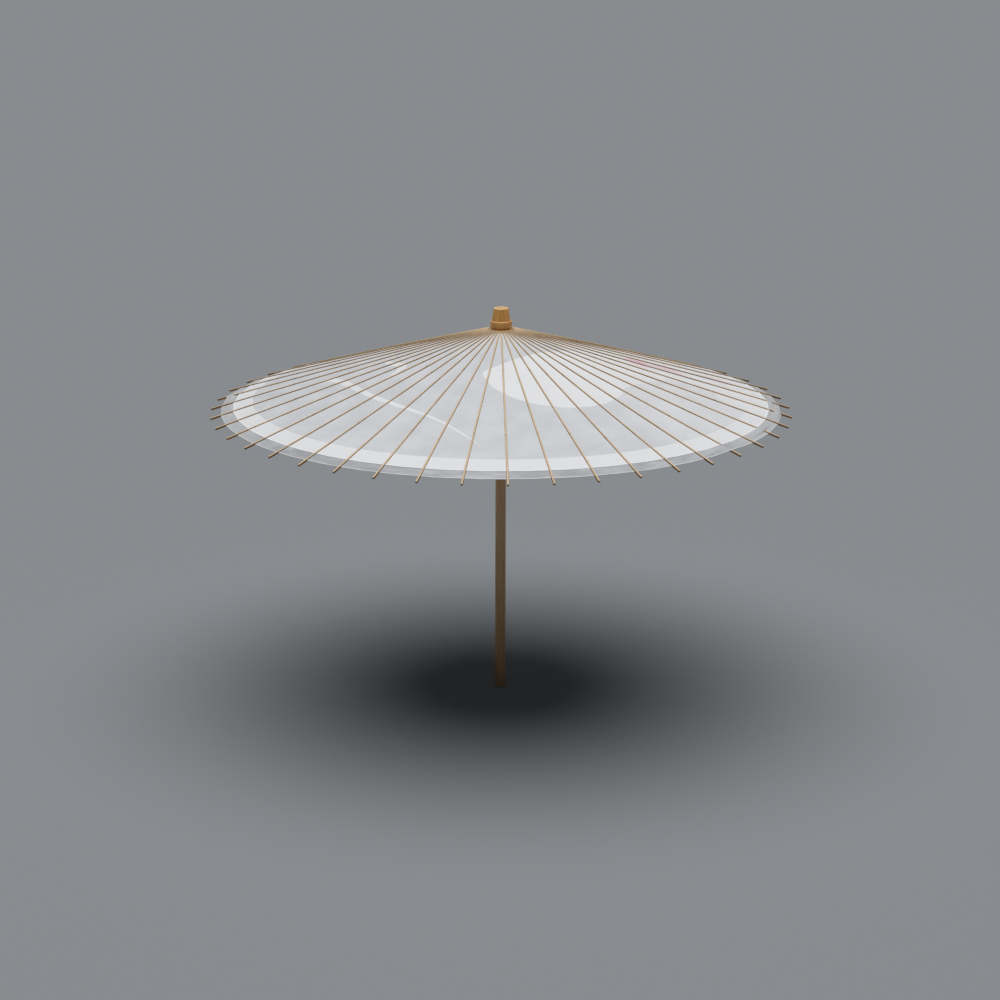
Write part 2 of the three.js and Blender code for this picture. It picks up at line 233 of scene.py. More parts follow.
# ---- material building ----
class Graph:
    """A new material, with short calls for its nodes."""

    def __init__(self, name):
        self.material = bpy.data.materials.new(name)
        self.material.use_nodes = True
        self.tree = self.material.node_tree
        self.tree.nodes.clear()

    def node(self, kind, inputs, **settings):
        node = self.tree.nodes.new(kind)
        for key, value in settings.items():
            setattr(node, key, value)
        for key, value in inputs.items():
            if isinstance(value, bpy.types.NodeSocket):
                self.tree.links.new(value, node.inputs[key])
            else:
                node.inputs[key].default_value = value
        return node

    def math(self, operation, *values):
        return self.node("ShaderNodeMath", dict(enumerate(values)), operation=operation).outputs[0]

    def ramp(self, value, low, high):
        """0 before low and 1 past high, with a smooth step between; low may be above high."""
        inputs = {"Value": value, "From Min": low, "From Max": high}
        return self.node("ShaderNodeMapRange", inputs, interpolation_type="SMOOTHSTEP").outputs[0]

    def mix(self, factor, first, second):
        """A colour between two, by factor."""
        return self.node("ShaderNodeMix", {0: factor, 6: first, 7: second}, data_type="RGBA").outputs[2]

    def uv(self, name):
        return self.node("ShaderNodeUVMap", {}, uv_map=name).outputs[0]

    def place(self):
        """The point's place in the row frame at rest."""
        return self.node("ShaderNodeTexCoord", {}).outputs["Object"]

    def parts(self, vector):
        return self.node("ShaderNodeSeparateXYZ", {0: vector}).outputs

    def scaled(self, vector, *scales):
        return self.node("ShaderNodeVectorMath", {0: vector, 1: scales}, operation="MULTIPLY").outputs[0]

    def noise(self, vector, scale=1.0, detail=3.0, roughness=0.55, distortion=0.0):
        inputs = {"Vector": vector, "Scale": scale, "Detail": detail}
        inputs.update({"Roughness": roughness, "Distortion": distortion})
        return self.node("ShaderNodeTexNoise", inputs).outputs[0]

    def attribute(self, name):
        return self.node("ShaderNodeAttribute", {}, attribute_name=name).outputs["Fac"]

    def bump(self, height, distance, strength=1.0):
        inputs = {"Height": height, "Distance": distance, "Strength": strength}
        return self.node("ShaderNodeBump", inputs).outputs[0]

    def principled(self, **inputs):
        named = {key.replace("_", " "): value for key, value in inputs.items()}
        return self.node("ShaderNodeBsdfPrincipled", named).outputs[0]

    def finish(self, shader):
        self.node("ShaderNodeOutputMaterial", {0: shader})
        return self.material


def rgb(red, green, blue):
    return (red, green, blue, 1.0)


def wood_material(name, light, dark, red, end_grain_and_highlight_colour, foot_highlight_colour, ring_pitch, gloss):
    """Fine-grained wood with its grain up the pole, a redder strip on one side, growth rings on its
    end faces and chamfers in an end colour that on the turned wood is a painted highlight, a foot
    painted paler as a highlight along its bottom edge, and a thin varnish."""
    g = Graph(name)
    place = g.place()
    streaks = g.noise(g.scaled(place, 900, 900, 26), detail=5, roughness=0.62)
    bands = g.noise(g.scaled(place, 210, 210, 9), detail=3, distortion=0.4)
    pores = g.noise(g.scaled(place, 3200, 3200, 120), detail=2)
    x, y, z = g.parts(place)
    off_centre = g.math("ADD", x, 2.1 * MM)
    ring_radius = g.math("SQRT", g.math("ADD", g.math("POWER", off_centre, 2.0), g.math("POWER", y, 2.0)))
    wobble = g.math("MULTIPLY", g.noise(g.scaled(place, 70, 70, 5), detail=2), 0.9 * ring_pitch)
    rings = g.math("SINE", g.math("MULTIPLY", g.math("ADD", ring_radius, wobble), 2 * math.pi / ring_pitch))
    normal = g.node("ShaderNodeNewGeometry", {}).outputs["True Normal"]
    ways = {"vector_type": "NORMAL", "convert_from": "WORLD", "convert_to": "OBJECT"}
    local_normal = g.node("ShaderNodeVectorTransform", {0: normal}, **ways).outputs[0]
    # faces turned up or down, chamfers too, take the end colour: real end grain, and on the turned wood a
    # painted highlight
    end_grain_and_highlight_share = g.ramp(g.math("ABSOLUTE", g.parts(local_normal)[2]), 0.5, 0.9)
    grain = g.math("ADD", g.math("MULTIPLY", streaks, 0.55), g.math("MULTIPLY", bands, 0.6))
    side = g.mix(g.ramp(grain, 0.35, 0.82), dark, light)
    drift = g.math("MULTIPLY", g.math("SUBTRACT", bands, 0.5), 9 * MM)
    red_strip = g.math("MULTIPLY", g.ramp(g.math("ADD", x, drift), 1.5 * MM, 4.5 * MM), 0.55)
    side = g.mix(red_strip, side, red)
    ringed = g.mix(g.ramp(rings, -0.6, 0.95), end_grain_and_highlight_colour, light)
    colour = g.mix(g.math("MULTIPLY", end_grain_and_highlight_share, 0.9), side, ringed)
    colour = g.mix(g.math("MULTIPLY", g.ramp(pores, 0.62, 0.78), 0.35), colour, dark)
    # painted highlight: the foot is painted paler below its groove, standing in for light along its bottom
    # edge
    foot_painted_highlight = g.math("MULTIPLY", g.ramp(z, FOOT_GROOVE[0], 0.6 * FOOT_GROOVE[0]), 0.7)
    colour = g.mix(foot_painted_highlight, colour, foot_highlight_colour)
    height = g.math("ADD", g.math("MULTIPLY", streaks, 0.6), g.math("MULTIPLY", pores, 0.4))
    roughness = g.math("ADD", gloss, g.math("MULTIPLY", bands, 0.16))
    shader = g.principled(
        Base_Color=colour, Roughness=roughness, Normal=g.bump(height, 0.09 * MM, 0.7),
        Coat_Weight=0.18, Coat_Roughness=0.3,
    )
    return g.finish(shader)


def bamboo_material():
    """Split bamboo: a pale oiled skin, darker fibrous sides whose colour also holds painted shade, and
    a dark ring at each joint of the cane.
    """
    g = Graph("split_bamboo")
    fibre = g.uv("fibre")
    strands = g.noise(g.scaled(fibre, 14, 2600, 1), detail=4, roughness=0.6)
    patches = g.noise(g.scaled(fibre, 22, 130, 1), detail=3)
    bundles = g.noise(g.scaled(fibre, 60, 5200, 1), detail=2)
    skin = g.ramp(g.attribute("skin"), 0.25, 0.75)
    knuckle = g.attribute("knuckle")
    # the sides are darker than the skin: fibrous, and darkened further as painted shade
    side_tone = g.ramp(strands, 0.34, 0.68)
    side = g.mix(side_tone, rgb(0.14, 0.075, 0.03), rgb(0.37, 0.215, 0.1))
    skin_grain = g.math("ADD", g.math("MULTIPLY", strands, 0.6), g.math("MULTIPLY", patches, 0.4))
    face = g.mix(g.ramp(skin_grain, 0.36, 0.66), rgb(0.64, 0.455, 0.265), rgb(0.8, 0.62, 0.4))
    colour = g.mix(skin, side, face)
    colour = g.mix(g.math("MULTIPLY", knuckle, 0.35), colour, rgb(0.14, 0.085, 0.04))
    speckle = g.math("MULTIPLY", g.ramp(bundles, 0.62, 0.8), 0.2)
    colour = g.mix(speckle, colour, rgb(0.1, 0.06, 0.03))
    side_roughness = g.math("ADD", 0.56, g.math("MULTIPLY", patches, 0.14))
    roughness = g.math("SUBTRACT", side_roughness, g.math("MULTIPLY", skin, 0.16))
    height = g.math("ADD", g.math("MULTIPLY", strands, 0.7), g.math("MULTIPLY", bundles, 0.3))
    normal = g.bump(height, 0.07 * MM, 0.8)
    return g.finish(g.principled(Base_Color=colour, Roughness=roughness, Normal=normal, Coat_Weight=0.08))


CLOUD_LOBES = [  # centres and radii of the painted cloud, in mm from the pole's axis
    ((128, 48), 86), ((228, 66), 104), ((334, 44), 88),
    ((334, -46), 36), ((170, 200), 150), ((310, 190), 130),
]


def painted(g, plan):
    """How much pale paint and how much pink lie on the paper: a cut disc, a cloud and brush strokes.

    Places are in mm from the pole's axis."""
    x, y, _ = g.parts(g.scaled(plan, 1 / MM, 1 / MM, 1))
    edge = g.math("MULTIPLY", g.math("SUBTRACT", g.noise(g.scaled(plan, 55, 55, 1), detail=3), 0.5), 5.0)

    def turned(start, way):
        """How far each point is past start along way, and how far to its left."""
        from_x, from_y = g.math("SUBTRACT", x, start[0]), g.math("SUBTRACT", y, start[1])
        run = g.math("ADD", g.math("MULTIPLY", from_x, way[0]), g.math("MULTIPLY", from_y, way[1]))
        left = g.math("SUBTRACT", g.math("MULTIPLY", from_y, way[0]), g.math("MULTIPLY", from_x, way[1]))
        return run, left

    def blot(centre, radius, soft=1.2):
        run, left = turned(centre, (1.0, 0.0))
        away = g.math("SQRT", g.math("ADD", g.math("POWER", run, 2.0), g.math("POWER", left, 2.0)))
        return g.ramp(g.math("ADD", away, edge), radius + soft, radius - soft)

    def past(start, heading_deg):
        """Everything beyond the straight line through start, across the heading."""
        way = (math.cos(math.radians(heading_deg)), math.sin(math.radians(heading_deg)))
        return g.ramp(turned(start, way)[0], -1.2, 1.2)

    def stroke(start, end, bow, half_start, half_end, swell):
        """From start to end, bowed to its left, with half widths at its ends and a swell between."""
        length = math.dist(start, end)
        way = ((end[0] - start[0]) / length, (end[1] - start[1]) / length)
        run, left = turned(start, way)
        share = g.math("DIVIDE", run, length)
        rise = g.math("SINE", g.math("MULTIPLY", share, math.pi))
        fading = g.math("SUBTRACT", 1.0, share)
        arch = g.math("MULTIPLY", g.math("POWER", g.math("ABSOLUTE", rise), 2.0), fading)
        half = g.math("ADD", half_end, g.math("MULTIPLY", fading, half_start - half_end))
        half = g.math("ADD", half, g.math("MULTIPLY", rise, swell))
        off = g.math("ABSOLUTE", g.math("SUBTRACT", left, g.math("MULTIPLY", arch, 1.9 * bow)))
        inside = g.ramp(g.math("SUBTRACT", off, half), 0.8, -0.8)
        between = g.math("MULTIPLY", g.ramp(share, -0.01, 0.01), g.ramp(share, 1.01, 0.99))
        return g.math("MULTIPLY", inside, between)

    cut_edge = past((-22, -127), -51.5)
    disc = g.math("MULTIPLY", blot((71, -118), 97), cut_edge)
    ribbon = stroke((-240, -36), (-29, -313), bow=-17, half_start=6, half_end=0.8, swell=0)
    hook = stroke((-300, -42), (-233, -37), bow=0, half_start=0.5, half_end=6.5, swell=0)
    curl = stroke((-157, -110), (-160, -16), bow=-21, half_start=0.8, half_end=0.8, swell=6)
    cloud = g.math("MULTIPLY", past((160, -138), 144), cut_edge)  # the strip beside the disc
    cloud = g.math("MULTIPLY", cloud, past((110, -80), 46))
    for centre, radius in CLOUD_LOBES:
        cloud = g.math("MAXIMUM", cloud, blot(centre, radius, soft=2.5))
    cloud = g.math("MULTIPLY", cloud, 0.9)
    veil = g.math("MULTIPLY", blot((300, -130), 150, soft=60), 0.42)  # a thin wash beside the cloud
    paint = g.math("MAXIMUM", cloud, veil)
    for shape in (disc, ribbon, hook, curl):
        paint = g.math("MAXIMUM", paint, shape)
    blush = g.math("MULTIPLY", blot((194, 14), 17, soft=11), 0.8)
    trail = g.math("MULTIPLY", blot((234, 26), 22, soft=16), 0.45)
    faint = g.math("MULTIPLY", blot((313, 62), 20, soft=16), 0.25)
    return paint, g.math("MAXIMUM", g.math("MAXIMUM", blush, trail), faint)


def paper_material():
    """Oiled paper: long pale fibres, a cloudy oil tone, painted shapes, a white band and a folded edge
    with a painted highlight along it.
    """
    g = Graph("oiled_paper")
    plan = g.uv("plan")
    run, across, _ = g.parts(g.uv("gore"))
    cloud = g.noise(g.scaled(plan, 24, 24, 1), detail=4)
    pulp = g.noise(g.scaled(plan, 420, 420, 1), detail=5, roughness=0.7)
    fibres = g.noise(g.scaled(plan, 1500, 260, 1), detail=3, distortion=1.5)
    crossing = g.noise(g.scaled(plan, 240, 1300, 1), detail=3, distortion=1.5)
    paint, blush = painted(g, plan)
    tone = g.math("ADD", g.math("MULTIPLY", cloud, 0.5), g.math("MULTIPLY", pulp, 0.5))
    paper = g.mix(g.ramp(tone, 0.36, 0.64), rgb(0.612, 0.629, 0.655), rgb(0.698, 0.715, 0.744))
    threads = g.math("MAXIMUM", g.ramp(fibres, 0.62, 0.75), g.ramp(crossing, 0.62, 0.75))
    paper = g.mix(g.math("MULTIPLY", threads, 0.3), paper, rgb(0.74, 0.75, 0.77))
    paper = g.mix(g.math("MULTIPLY", paint, 0.92), paper, rgb(0.84, 0.845, 0.86))
    paper = g.mix(blush, paper, rgb(0.76, 0.44, 0.6))
    inner, outer = PAPER_END - 29 * MM, PAPER_END - 2.6 * MM
    band = g.math("MULTIPLY", g.ramp(run, inner - 0.5 * MM, inner + 0.5 * MM), 0.95)
    paper = g.mix(band, paper, rgb(0.81, 0.82, 0.84))
    # painted highlight along the folded edge
    paper = g.mix(g.ramp(run, outer - 0.4 * MM, outer + 0.4 * MM), paper, rgb(0.86, 0.865, 0.88))
    glue = g.math("MULTIPLY", g.ramp(across, 1.6 * MM, 0.2 * MM), 0.35)
    paper = g.mix(glue, paper, rgb(0.5, 0.46, 0.4))
    height = g.math("ADD", g.math("MULTIPLY", pulp, 0.6), g.math("MULTIPLY", threads, 0.4))
    normal = g.bump(height, 0.05 * MM, 0.6)
    roughness = g.math("ADD", 0.44, g.math("MULTIPLY", cloud, 0.2))
    front = g.principled(Base_Color=paper, Roughness=roughness, Normal=normal, Specular_IOR_Level=0.3)
    glow = g.node("ShaderNodeBsdfTranslucent", {"Color": paper, "Normal": normal}).outputs[0]
    return g.finish(g.node("ShaderNodeMixShader", {0: 0.04, 1: front, 2: glow}).outputs[0])


def hem_material():
    """A thin oiled strip, grey, painted paler at the left and right sides as painted light, with creases
    along the rim that carry painted glints, and a pale rolled edge.
    """
    g = Graph("hem_paper")
    plan = g.uv("plan")
    run, _, _ = g.parts(g.uv("gore"))
    heading = g.node("ShaderNodeVectorMath", {0: plan}, operation="NORMALIZE").outputs[0]
    radius = g.node("ShaderNodeVectorMath", {0: plan}, operation="LENGTH").outputs["Value"]
    cos, sin, _ = g.parts(heading)
    rim = g.node("ShaderNodeCombineXYZ", {0: cos, 1: sin, 2: g.math("MULTIPLY", radius, 4.0)}).outputs[0]
    cloudy = g.noise(g.scaled(rim, 5, 5, 12), detail=3)
    creases = g.noise(g.scaled(rim, 14, 14, 40), detail=4, roughness=0.6, distortion=0.8)
    fine = g.noise(g.scaled(plan, 500, 500, 1), detail=3)
    tone = g.math("ADD", g.math("MULTIPLY", cloudy, 0.6), g.math("MULTIPLY", creases, 0.4))
    colour = g.mix(g.ramp(tone, 0.38, 0.62), rgb(0.42, 0.432, 0.46), rgb(0.58, 0.592, 0.62))
    glint = g.math("MULTIPLY", g.ramp(creases, 0.62, 0.72), 0.5)
    colour = g.mix(glint, colour, rgb(0.66, 0.67, 0.68))
    # painted light: the strip is painted paler towards its left and right sides
    painted_light_at_sides = g.math("MULTIPLY", g.ramp(g.math("ABSOLUTE", cos), 0.7, 0.96), 0.6)
    colour = g.mix(painted_light_at_sides, colour, rgb(0.68, 0.69, 0.7))
    colour = g.mix(g.ramp(run, HEM_END - 1.7 * MM, HEM_END - 1.1 * MM), colour, rgb(0.78, 0.79, 0.8))
    height = g.math("ADD", g.math("MULTIPLY", creases, 0.8), g.math("MULTIPLY", fine, 0.2))
    normal = g.bump(height, 0.35 * MM, 0.6)
    roughness = g.math("ADD", 0.32, g.math("MULTIPLY", fine, 0.16))
    front = g.principled(Base_Color=colour, Roughness=roughness, Normal=normal)
    glow = g.node("ShaderNodeBsdfTranslucent", {"Color": colour, "Normal": normal}).outputs[0]
    return g.finish(g.node("ShaderNodeMixShader", {0: 0.12, 1: front, 2: glow}).outputs[0])


def thread_material():
    """Dark waxed cotton, twisted from two strands."""
    g = Graph("waxed_thread")
    twist_way = g.uv("fibre")
    run, around, _ = g.parts(twist_way)
    along = g.math("MULTIPLY", run, 2 * math.pi / THREAD_TWIST)
    turns = g.math("ADD", along, g.math("MULTIPLY", around, 2 * math.pi))
    twist = g.ramp(g.math("SINE", turns), -0.8, 0.8)
    fuzz = g.noise(g.scaled(twist_way, 2500, 6, 1), detail=3)
    colour = g.mix(twist, rgb(0.06, 0.035, 0.022), rgb(0.24, 0.15, 0.09))
    colour = g.mix(g.math("MULTIPLY", fuzz, 0.4), colour, rgb(0.3, 0.2, 0.13))
    height = g.math("ADD", twist, g.math("MULTIPLY", fuzz, 0.3))
    roughness = g.math("ADD", 0.5, g.math("MULTIPLY", fuzz, 0.3))
    return g.finish(g.principled(Base_Color=colour, Roughness=roughness, Normal=g.bump(height, 0.1 * MM)))


def wire_material():
    """Thin dull steel wire with a few brown stains."""
    g = Graph("dull_wire")
    place = g.place()
    stains = g.noise(g.scaled(place, 300, 300, 300), detail=4)
    scratches = g.noise(g.scaled(place, 2600, 2600, 2600), detail=2)
    colour = g.mix(g.ramp(stains, 0.5, 0.66), rgb(0.5, 0.48, 0.44), rgb(0.22, 0.12, 0.06))
    roughness = g.math("ADD", 0.3, g.math("MULTIPLY", stains, 0.3))
    metal = g.ramp(stains, 0.68, 0.5)
    normal = g.bump(scratches, 0.02 * MM)
    return g.finish(g.principled(Base_Color=colour, Roughness=roughness, Metallic=metal, Normal=normal))


def floor_material():
    """Plain matt grey with a faint speck."""
    g = Graph("studio_floor")
    speck = g.noise(g.place(), scale=400, detail=2)
    colour = g.mix(speck, rgb(0.246, 0.261, 0.276), rgb(0.259, 0.274, 0.29))
    return g.finish(g.principled(Base_Color=colour, Roughness=0.9, Specular_IOR_Level=0.1))


# paler wood for the painted highlight along the pole's foot
FOOT_HIGHLIGHT_WOOD = rgb(0.93, 0.74, 0.5)
POLE_WOOD = wood_material(
    "pole_wood", light=rgb(0.92, 0.62, 0.31), dark=rgb(0.64, 0.37, 0.155), red=rgb(0.74, 0.34, 0.13),
    end_grain_and_highlight_colour=rgb(0.5, 0.26, 0.09), foot_highlight_colour=FOOT_HIGHLIGHT_WOOD, ring_pitch=1.5 * MM, gloss=0.36,
)
TURNED_WOOD = wood_material(
    "turned_wood", light=rgb(0.9, 0.5, 0.155), dark=rgb(0.61, 0.3, 0.07), red=rgb(0.8, 0.38, 0.12),
    end_grain_and_highlight_colour=rgb(1.0, 0.82, 0.5), foot_highlight_colour=FOOT_HIGHLIGHT_WOOD, ring_pitch=2.4 * MM, gloss=0.3,
)
BAMBOO = bamboo_material()
PAPER = paper_material()
HEM = hem_material()
THREAD = thread_material()
WIRE = wire_material()


# ---- mesh building ----
def make_object(name, points, faces, material):
    mesh = bpy.data.meshes.new(name)
    mesh.from_pydata([tuple(point) for point in points], [], faces)
    mesh.materials.append(material)
    made = bpy.data.objects.new(name, mesh)
    bpy.context.scene.collection.objects.link(made)
    return made


def shade(piece, sharp_deg=38):
    """Smooth shading, with a hard edge where faces meet at more than sharp_deg."""
    piece.data.shade_smooth()
    piece.data.set_sharp_from_angle(angle=math.radians(sharp_deg))


def face_out(piece):
    """Turns a closed piece's faces outward."""
    work = bmesh.new()
    work.from_mesh(piece.data)
    bmesh.ops.recalc_face_normals(work, faces=work.faces)
    work.to_mesh(piece.data)
    work.free()


def add_uv(piece, name, values):
    """A UV map from one pair of numbers for each point."""
    mesh = piece.data
    corners = np.empty(len(mesh.loops), np.int32)
    mesh.loops.foreach_get("vertex_index", corners)
    layer = mesh.uv_layers.new(name=name)
    layer.data.foreach_set("uv", np.asarray(values, np.float32)[corners].ravel())


def add_attribute(piece, name, values):
    layer = piece.data.attributes.new(name, "FLOAT", "POINT")
    layer.data.foreach_set("value", np.asarray(values, np.float32).ravel())


def attach(piece, body, slot, *nodes):
    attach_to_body(piece, body)
    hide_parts(*nodes)
    return piece


def tube_faces(ring_count, ring_size, closed=False):
    """Quads between rings of points; a tube that isn't closed on itself gets both ends capped."""
    faces = []
    for ring in range(ring_count if closed else ring_count - 1):
        after = (ring + 1) % ring_count
        for k in range(ring_size):
            beside = (k + 1) % ring_size
            corners = (ring, k), (ring, beside), (after, beside), (after, k)
            faces.append(tuple(row * ring_size + column for row, column in corners))
    if not closed:
        last = (ring_count - 1) * ring_size
        faces.append(tuple(reversed(range(ring_size))))
        faces.append(tuple(range(last, last + ring_size)))
    return faces


def grid_faces(rows, columns, flipped):
    faces = []
    for row in range(rows - 1):
        for column in range(columns - 1):
            a = row * columns + column
            quad = (a, a + 1, a + columns + 1, a + columns)
            faces.append(quad[::-1] if flipped else quad)
    return faces


def strand_uv(ring_lengths, ring_size, width, start):
    """Lengthways and round coordinates for a tube of rings."""
    around = np.arange(ring_size) * width / ring_size
    return [(start + length, value) for length in ring_lengths for value in around]


# ---- ribs ----
def rib_middle(s):
    return 4 * RIB_ARCH / LINK**2 * s * (LINK - s)


def rib_half_width(s):
    return float(np.interp(s, RIB_STATIONS, RIB_WIDTHS)) / 2


def skin_half_width(s):
    return rib_half_width(s) * float(np.interp(s, TAPER_STATIONS, RIB_TAPERS))


def rib_top(s):
    return rib_middle(s) + float(np.interp(s, RIB_STATIONS, RIB_HALF_DEPTHS))


def rib_section(s, swell):
    """Points (sideways, outward) round a rib, counter-clockwise from the groove's lip, and the share
    of skin at each."""
    depth = float(np.interp(s, RIB_STATIONS, RIB_HALF_DEPTHS))
    half = rib_half_width(s) + swell
    under_skin = skin_half_width(s) + swell
    if s <= RIB_TANG_END:
        half = under_skin = TANG_WIDTH / 2
    if s < 0:
        depth = max(0.3 * depth, math.sqrt(max(0.0, depth**2 - s**2)))
    shrink = max(0.0, s - (RIB_LENGTH - 0.35 * MM))
    half -= shrink
    under_skin -= shrink
    depth -= shrink
    low, high = rib_middle(s) - depth, rib_middle(s) + depth + swell
    corner = min(CORNER, 0.3 * half)
    crown = min(CROWN, 0.5 * depth)
    lip = min(GROOVE_HALF, half - 1.2 * corner)
    inner, inner_level = lip / 3, low
    if GROOVE_START <= s <= GROOVE_END:
        wedge = max(0.0, (s - LINK) / (GROOVE_END - LINK))
        inner, inner_level = lip, GROOVE_TOP + (low - GROOVE_TOP) * wedge
    arc = [math.pi * step / 10 for step in range(11)]
    ring = [(lip, low), (half - corner, low), (half, low + corner)]
    ring += [(under_skin * math.cos(a), high - crown + crown * math.sin(a)) for a in arc]
    ring += [(-half, low + corner), (corner - half, low), (-lip, low)]
    ring += [(-inner, inner_level), (inner, inner_level)]
    skin = [0.0] * 3 + [min(1.0, 2.2 * math.sin(a)) for a in arc] + [0.0] * 5
    return ring, skin


def make_rib(index):
    knuckles = [RIB_LENGTH * share + rng.uniform(-1, 1) * KNUCKLE_SPREAD for share in KNUCKLES]
    end = RIB_HALF_DEPTHS[0]
    stations = {-end * math.cos(math.radians(angle)) for angle in (0, 25, 45, 65, 90)}
    stations |= {RIB_TANG_END, 1.2 * RIB_TANG_END, RIB_LENGTH - 0.35 * MM, RIB_LENGTH - 0.15 * MM, RIB_LENGTH}
    stations |= {GROOVE_START - 0.02 * MM, GROOVE_START, LINK, GROOVE_END, GROOVE_END + 0.02 * MM}
    stations |= set(np.linspace(8 * MM, RIB_LENGTH - 4 * MM, 42))
    offsets = [share * KNUCKLE_REACH for share in (-2, -1, -0.5, 0, 0.5, 1, 2)]
    stations |= {centre + offset for centre in knuckles for offset in offsets}
    stations = sorted(stations)
    bend = rng.uniform(-0.35, 0.35) * MM
    points, skins, rings = [], [], []
    for s in stations:
        bulge = max(math.exp(-(((s - centre) / KNUCKLE_REACH) ** 2)) for centre in knuckles)
        section, skin = rib_section(s, KNUCKLE_SWELL * bulge)
        drift = bend * max(0.0, s / RIB_LENGTH) ** 2
        points += [(s, across + drift, out) for across, out in section]
        skins += skin
        rings += [bulge if bulge > 0.2 else 0.0] * len(section)
    ring_size = len(section)
    name = f"bamboo_rib_{index + 1:02d}"
    rib = make_object(name, arms[index].on_rib(points), tube_faces(len(stations), ring_size), BAMBOO)
    add_uv(rib, "fibre", strand_uv(stations, ring_size, 12 * MM, index * 1.7))
    add_attribute(rib, "skin", skins)
    add_attribute(rib, "knuckle", rings)
    shade(rib)
    return attach(rib, rib_nodes[index], "bamboo", rib_nodes[index])


# ---- paper ----
def ruffle(point, size, seed):
    """A smooth random number from -1 to 1 that depends only on the place."""
    return noise.noise(Vector((point[0] / size, point[1] / size, seed)))


def paper_over_rib(index, s):
    """The paper ends at its ribs' sides and covers none of them."""
    return 0.0


def gore_half(index, side, rows, level, over_rib, lift):
    """Half a gore, from a rib to the middle line it shares with its neighbour.

    rows are distances along the rib with a rise and a shift for each, level(index, s) is the sheet's
    height on a rib, over_rib(index, s) is above 0 where it covers the rib instead of ending at its side,
    and lift(point, share, half, s) raises it between the ribs. Returns points, plan and gore coordinates."""
    near, far = arms[index], arms[(index + side) % RIB_COUNT]
    raised = near.top + far.top
    raised /= np.linalg.norm(raised)
    points, plan, gore = [], [], []
    for s, above, shift in rows:
        here = near.on_rib([(s + shift, 0, level(index, s) + above)])[0]
        there = far.on_rib([(s + shift, 0, level((index + side) % RIB_COUNT, s) + above)])[0]
        middle = (here + there) / 2
        half = np.linalg.norm(middle - here)
        first = 0.0 if over_rib(index, s) > 0 else (skin_half_width(s) - PAPER_TUCK) / half
        for share in np.linspace(first, 1, GORE_COLUMNS):
            flat = here + (middle - here) * share
            points.append(flat + raised * lift(flat, share, half, s))
            plan.append((flat[0], flat[1]))
            gore.append((s, half * (share - first)))
    return points, plan, gore


def make_gore_half(name, index, side, rows, level, over_rib, lift, material):
    points, plan, gore = gore_half(index, side, rows, level, over_rib, lift)
    faces = grid_faces(len(rows), GORE_COLUMNS, flipped=side > 0)
    sheet = make_object(name, points, faces, material)
    add_uv(sheet, "plan", plan)
    add_uv(sheet, "gore", gore)
    shade(sheet, 60)
    return sheet


def paper_level(index, s):
    return rib_top(s) - PAPER_BELOW_TOP


def paper_lift(point, share, half, s):
    sag = -PAPER_SAG * half * math.sin(share * math.pi / 2) ** 2
    fade = min(1.0, half / (8 * MM))
    wrinkle = WRINKLE * (0.7 * ruffle(point, 34 * MM, 3.1) + 0.3 * ruffle(point, 9 * MM, 8.2))
    return sag + wrinkle * fade


PAPER_ROWS = [(s, 0, 0) for s in np.linspace(PAPER_START, PAPER_END - 3 * MM, GORE_ROWS)]
PAPER_ROWS += [(PAPER_END - 2.6 * MM, 0.02 * MM, 0), (PAPER_END - 2.4 * MM, 0.25 * MM, 0)]
PAPER_ROWS += [(PAPER_END - 0.3 * MM, 0.25 * MM, 0), (PAPER_END, 0.1 * MM, 0), (PAPER_END, -0.2 * MM, 0)]


def hem_over_rib(index, s):
    """How far, from 0 to 1, the hem has come out over its rib at s."""
    start, end = HEM_OVER_RIBS.get(index % RIB_COUNT + 1, (2.0, 2.0))
    free = HEM_END - PAPER_END
    past_start = (s - PAPER_END - start * free) / HEM_CLIMB + 0.5
    before_end = (PAPER_END + end * free - s) / HEM_CLIMB + 0.5
    return max(0.0, min(1.0, past_start, before_end))


def hem_level(index, s):
    under = paper_level(index, s) - HEM_LAP
    return under + (rib_top(s) + HEM_LAP - under) * hem_over_rib(index, s)


def hem_lift(point, share, half, s):
    free = min(1.0, max(0.0, (s - PAPER_END) / (0.4 * HEM_OVERLAP)))
    crumple = 0.7 * ruffle(point, 16 * MM, 5.5) + 0.3 * ruffle(point, 6 * MM, 1.7)
    return paper_lift(point, share, half, s) + HEM_WRINKLE * free * crumple


def hem_rows():
    """Down the hem, then round a small roll at its outer edge."""
    rows = [(s, 0, 0) for s in np.linspace(PAPER_END - HEM_OVERLAP, HEM_END - HEM_ROLL, HEM_ROWS)]
    for angle in (40, 80, 125, 170, 215, 260):
        turn = math.radians(angle)
        rows.append((HEM_END - HEM_ROLL, HEM_ROLL * (math.cos(turn) - 1), HEM_ROLL * math.sin(turn)))
    return rows


def fold_to_rib(piece, index):
    """Gives the piece its own copy of its mesh."""
    arm = arms[index]
    tuple(arm.side)
    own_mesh(piece)


def make_paper(index, side):
    label = f"{index + 1:02d}_{'left' if side < 0 else 'right'}"
    sheet = make_gore_half(
        f"paper_{label}", index, side, PAPER_ROWS, paper_level, paper_over_rib, paper_lift, PAPER
    )
    hem = make_gore_half(
        f"hem_{label}", index, side, hem_rows(), hem_level, hem_over_rib, hem_lift, HEM
    )
    attach(sheet, rib_nodes[index], "oiled_paper", "canopy")
    attach(hem, rib_nodes[index], "hem_paper")
    for piece in (sheet, hem):
        fold_to_rib(piece, index)
    under_rib = skin_half_width(LINK) - PAPER_TUCK
    return sheet


